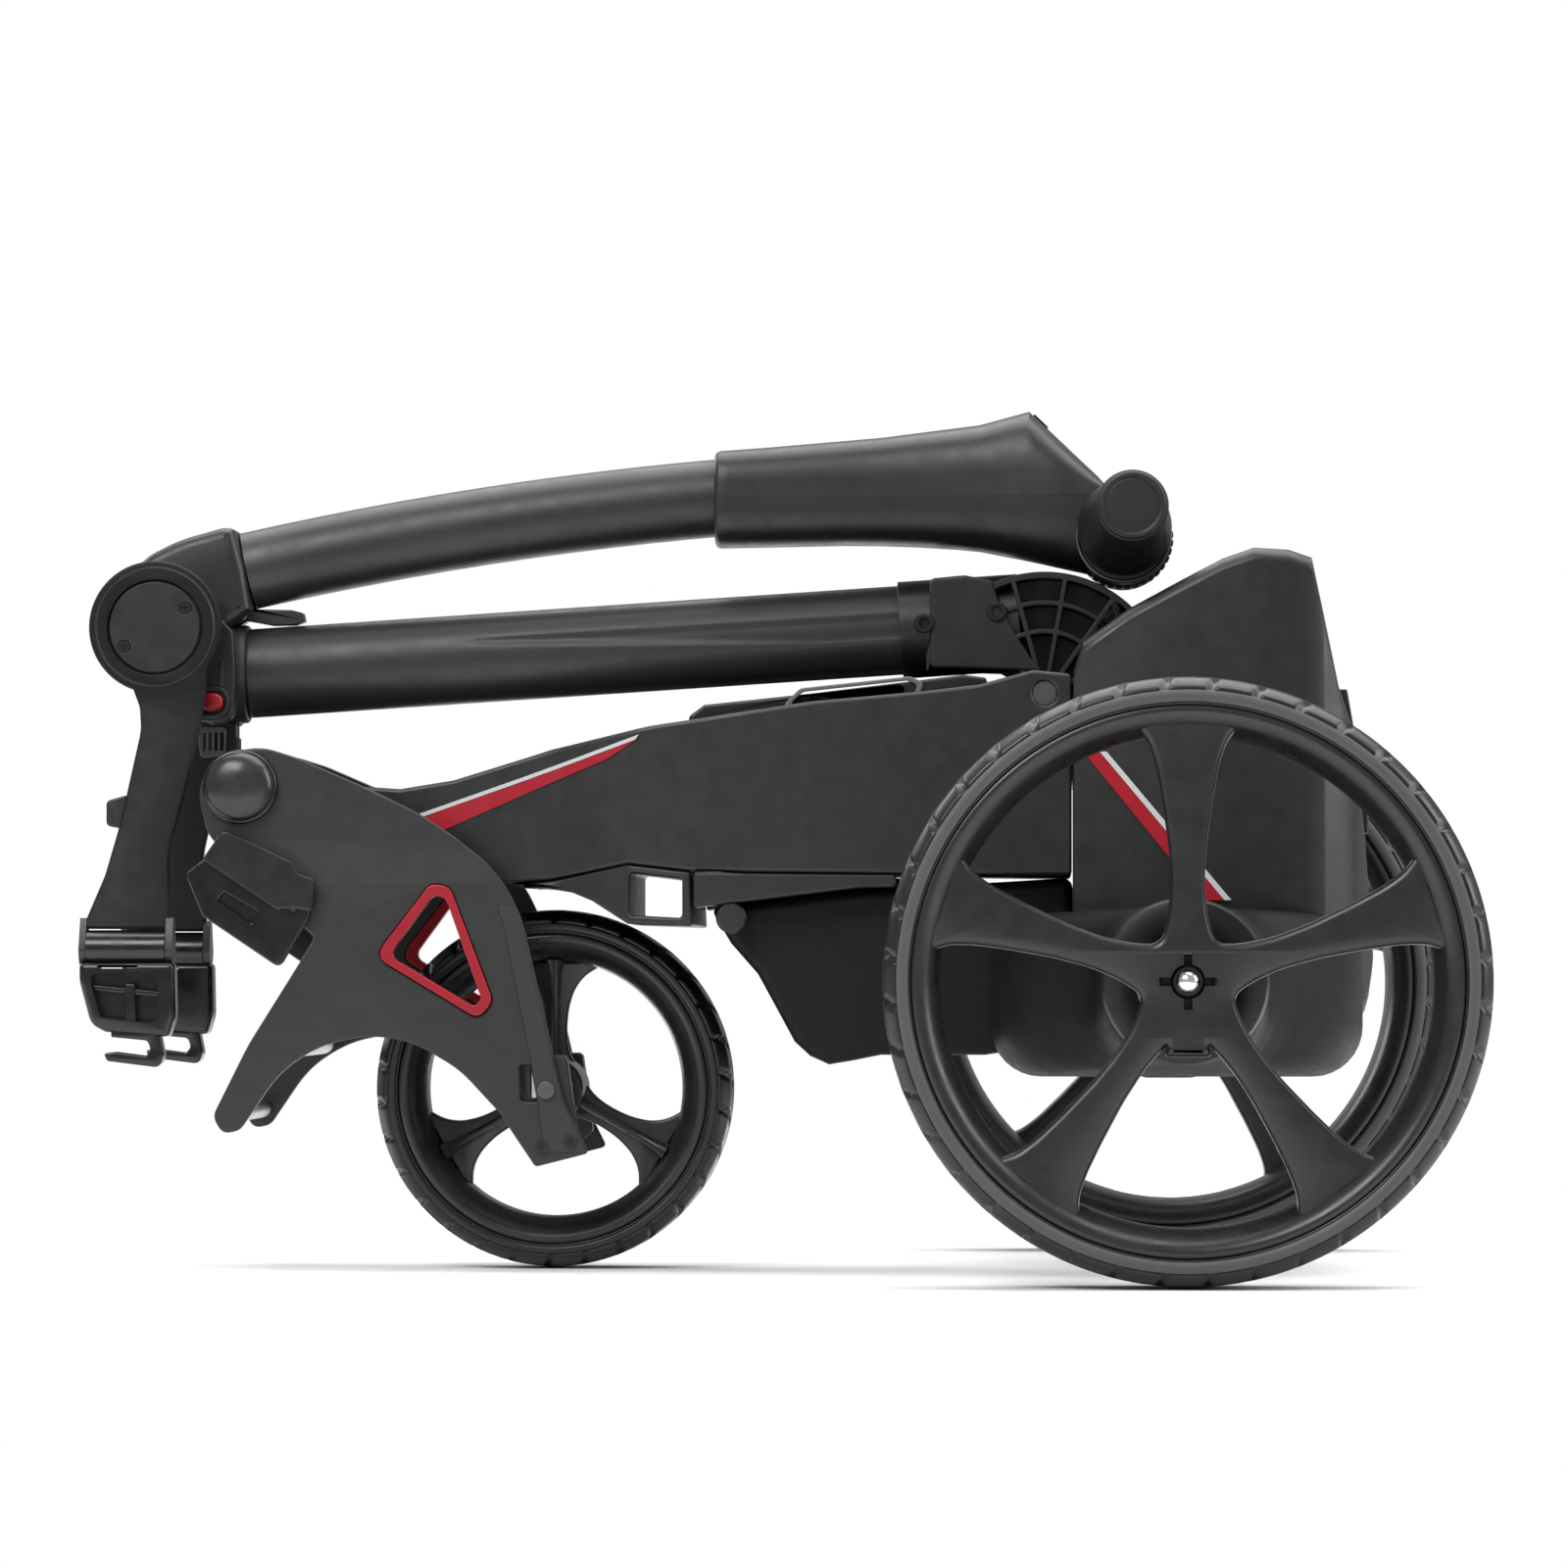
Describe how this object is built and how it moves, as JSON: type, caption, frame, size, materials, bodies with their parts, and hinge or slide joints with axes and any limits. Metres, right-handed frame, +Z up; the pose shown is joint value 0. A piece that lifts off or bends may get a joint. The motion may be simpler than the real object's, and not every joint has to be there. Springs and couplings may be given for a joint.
{
  "type": "folding electric golf trolley",
  "caption": "Powered golf bag trolley folded flat, with hinged shafts, bag arms, battery chassis, driven rear wheels and a folding front wheel.",
  "frame": {"origin": "on the floor, at the middle of the folded trolley's box", "axes": "+X towards the rear wheels, +Y towards the right rear wheel, +Z up"},
  "size_m": [0.7197, 0.5906, 0.4505],
  "materials": {
    "shell_black": "fine grained moulding",
    "battery_black": "matt",
    "accent_red": "satin gloss",
    "accent_white": "satin gloss",
    "steel_dark": "blackened",
    "steel_bright": "polished",
    "gearbox_alloy": "cast",
    "gear_nylon": "moulded nylon",
    "rim_black": "semi gloss",
    "tyre_rubber": "matt",
    "plate_black": "fine satin powder coat",
    "cap_grey": "satin",
    "tube_graphite": "satin metallic",
    "grip_rubber": "soft touch",
    "screen_glass": "polished"
  },
  "bodies": {
    "chassis": {"chassis_shell_left": "shell_black", "chassis_shell_right": "shell_black", "rear_housing_left": "shell_black", "rear_housing_right": "shell_black", "under_rails": "shell_black", "belly_pan": "shell_black", "battery_case": "battery_black", "battery_lid": "battery_black", "battery_plug": "battery_black", "stripes_red": "accent_red", "stripes_white": "accent_white", "rear_latch_strip": "shell_black", "axle_legs": "shell_black", "axle_bearings": "steel_bright", "gearbox_halves": "gearbox_alloy", "motor": "gearbox_alloy", "controller": "battery_black", "pivot_pins": "steel_bright"},
    "drive_axle": {"drive_axle": "steel_bright", "drive_gear": "gear_nylon"},
    "motor_rotor": {"motor_pinion": "steel_bright"},
    "rear_wheel_left": {"rear_rim_left": "rim_black", "rear_tyre_left": "tyre_rubber"},
    "rear_wheel_right": {"rear_rim_right": "rim_black", "rear_tyre_right": "tyre_rubber"},
    "front_fork": {"fork_plates": "plate_black", "fork_bridge": "plate_black", "fork_screws": "steel_dark", "triangle_trims": "accent_red", "pivot_caps": "cap_grey", "axle_carriers": "plate_black", "front_axle": "steel_bright", "bag_clips": "shell_black", "clip_flaps": "shell_black"},
    "front_wheel": {"front_rim": "rim_black", "front_tyre": "tyre_rubber", "front_bearings": "steel_bright"},
    "lower_shaft": {"lower_tube": "tube_graphite", "hinge_bracket": "shell_black", "shaft_screws": "steel_dark", "lower_collar": "cap_grey", "hub_pin": "steel_bright", "hub_caps": "plate_black", "bag_arms": "plate_black", "strap_anchor": "grip_rubber"},
    "release_button": {"release_button": "accent_red"},
    "bag_cradle_left": {"bag_cradle_left": "shell_black"},
    "bag_cradle_right": {"bag_cradle_right": "shell_black"},
    "upper_shaft": {"upper_collar": "cap_grey", "upper_tube": "tube_graphite", "handle_upper": "shell_black", "handle_lower": "shell_black", "handle_pins": "steel_bright", "grips": "grip_rubber", "grip_caps": "grip_rubber", "display_window": "screen_glass"},
    "release_trigger": {"release_trigger": "cap_grey"},
    "speed_dial": {"speed_dial": "grip_rubber"},
    "power_button": {"power_button": "grip_rubber"}
  },
  "joints": [
    {"name": "main_fold", "type": "hinge", "parent": "chassis", "child": "lower_shaft", "pos_m": [0.1399, 0, 0.299], "axis": [0, 1, 0], "range_deg": [0, 132]},
    {"name": "upper_fold", "type": "hinge", "parent": "lower_shaft", "child": "upper_shaft", "pos_m": [-0.3241, 0, 0.335], "axis": [0, -1, 0], "range_deg": [0, 176]},
    {"name": "fork_fold", "type": "hinge", "parent": "chassis", "child": "front_fork", "pos_m": [-0.2771, 0, 0.251], "axis": [0, 1, 0], "range_deg": [0, 99]},
    {"name": "front_wheel_spin", "type": "hinge", "parent": "front_fork", "child": "front_wheel", "pos_m": [-0.1181, 0, 0.094], "axis": [0, 1, 0], "continuous": true},
    {"name": "axle_spin", "type": "hinge", "parent": "chassis", "child": "drive_axle", "pos_m": [0.2099, 0, 0.15], "axis": [0, 1, 0], "continuous": true},
    {"name": "motor_spin", "type": "hinge", "parent": "chassis", "child": "motor_rotor", "pos_m": [0.1599, 0, 0.15], "axis": [0, 1, 0], "continuous": true},
    {"name": "rear_wheel_left_spin", "type": "hinge", "parent": "drive_axle", "child": "rear_wheel_left", "pos_m": [0.2099, -0.263, 0.15], "axis": [0, 1, 0], "continuous": true},
    {"name": "rear_wheel_right_spin", "type": "hinge", "parent": "drive_axle", "child": "rear_wheel_right", "pos_m": [0.2099, 0.263, 0.15], "axis": [0, 1, 0], "continuous": true},
    {"name": "release_button_press", "type": "slide", "parent": "lower_shaft", "child": "release_button", "axis": [0, 1, 0], "range_m": [0, 0.0025], "stiffness_N_per_m": 400},
    {"name": "cradle_left_swing", "type": "hinge", "parent": "lower_shaft", "child": "bag_cradle_left", "pos_m": [-0.3351, -0.088, 0.167], "axis": [-1, 0, 0], "range_deg": [0, 30]},
    {"name": "cradle_right_swing", "type": "hinge", "parent": "lower_shaft", "child": "bag_cradle_right", "pos_m": [-0.3351, 0.088, 0.167], "axis": [1, 0, 0], "range_deg": [0, 30]},
    {"name": "release_trigger_squeeze", "type": "hinge", "parent": "upper_shaft", "child": "release_trigger", "pos_m": [-0.2831, 0, 0.3458], "axis": [0, -1, 0], "range_deg": [0, 5], "stiffness_Nm_per_rad": 0.4, "springref_deg": -2.86},
    {"name": "speed_dial_turn", "type": "hinge", "parent": "upper_shaft", "child": "speed_dial", "pos_m": [0.1814, 0, 0.3835], "axis": [0, 1, 0], "range_deg": [0, 300]},
    {"name": "power_button_press", "type": "slide", "parent": "upper_shaft", "child": "power_button", "axis": [-0.6919, 0, -0.7219], "range_m": [0, 0.0012], "stiffness_N_per_m": 300}
  ],
  "couplings": [
    {"joint": "upper_fold", "follows": "main_fold", "ratio": 1.3333},
    {"joint": "fork_fold", "follows": "main_fold", "ratio": 0.75},
    {"joint": "motor_spin", "follows": "axle_spin", "ratio": -4}
  ]
}
